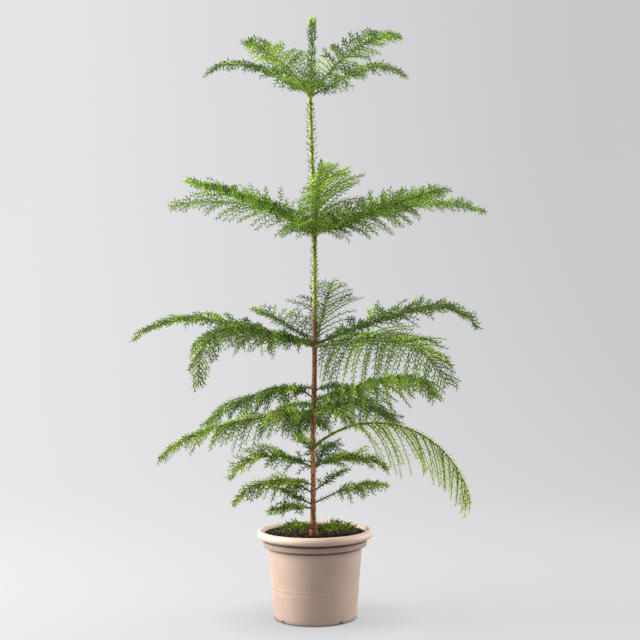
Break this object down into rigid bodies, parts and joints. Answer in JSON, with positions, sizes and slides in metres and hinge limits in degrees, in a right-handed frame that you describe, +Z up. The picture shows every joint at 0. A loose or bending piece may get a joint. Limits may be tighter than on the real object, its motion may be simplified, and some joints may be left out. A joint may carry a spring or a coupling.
{
  "type": "potted norfolk island pine",
  "caption": "Young conifer with a straight slender trunk and flat tiered fronds of fine needles, in a round tapered plastic pot with a rolled rim, filled with peat.",
  "frame": {"origin": "centre of the flat pad in the middle of the pot's underside", "axes": "+Z up along the trunk; -Y is the plant's front, as in the picture; +X is to the right seen from the front"},
  "size_m": [0.7501, 0.652, 1.2495],
  "materials": {
    "pot": "satin",
    "peat": "matte",
    "bark": "matte",
    "needles_upper": "matte",
    "needles_lower": "matte"
  },
  "bodies": {
    "root": {"leader_tuft": "needles_upper", "low_sprig_left_foliage": "needles_lower", "low_sprig_right_foliage": "needles_lower", "pot": "pot", "soil": "peat", "tier_1_back_foliage": "needles_upper", "tier_1_front_left_bough": "bark", "tier_1_front_left_foliage": "needles_upper", "tier_1_front_right_bough": "bark", "tier_1_front_right_foliage": "needles_upper", "tier_1_left_bough": "bark", "tier_1_left_foliage": "needles_upper", "tier_1_right_bough": "bark", "tier_1_right_foliage": "needles_upper", "tier_2_back_bough": "bark", "tier_2_back_foliage": "needles_upper", "tier_2_front_bough": "bark", "tier_2_front_foliage": "needles_upper", "tier_2_front_left_bough": "bark", "tier_2_front_left_foliage": "needles_upper", "tier_2_front_right_bough": "bark", "tier_2_front_right_foliage": "needles_upper", "tier_2_left_bough": "bark", "tier_2_left_foliage": "needles_upper", "tier_2_right_bough": "bark", "tier_2_right_foliage": "needles_upper", "tier_3_back_bough": "bark", "tier_3_back_foliage": "needles_lower", "tier_3_back_left_bough": "bark", "tier_3_back_left_foliage": "needles_lower", "tier_3_front_left_bough": "bark", "tier_3_front_left_inner_foliage": "needles_lower", "tier_3_front_left_outer_foliage": "needles_lower", "tier_3_front_right_bough": "bark", "tier_3_front_right_foliage": "needles_lower", "tier_3_left_bough": "bark", "tier_3_left_foliage": "needles_lower", "tier_3_right_bough": "bark", "tier_3_right_foliage": "needles_lower", "tier_4_back_bough": "bark", "tier_4_back_foliage": "needles_lower", "tier_4_back_left_bough": "bark", "tier_4_back_left_foliage": "needles_lower", "tier_4_back_right_bough": "bark", "tier_4_back_right_foliage": "needles_lower", "tier_4_front_foliage": "needles_lower", "tier_4_front_right_bough": "bark", "tier_4_front_right_foliage": "needles_lower", "tier_4_left_bough": "bark", "tier_4_left_foliage": "needles_lower", "tier_4_right_bough": "bark", "tier_4_right_inner_foliage": "needles_lower", "tier_4_right_outer_foliage": "needles_lower", "tier_5_back_foliage": "needles_lower", "tier_5_left_foliage": "needles_lower", "tier_5_right_foliage": "needles_lower", "tier_6_left_foliage": "needles_lower", "tier_6_right_foliage": "needles_lower", "tier_7_left_foliage": "needles_lower", "trunk": "bark"}
  },
  "joints": []
}
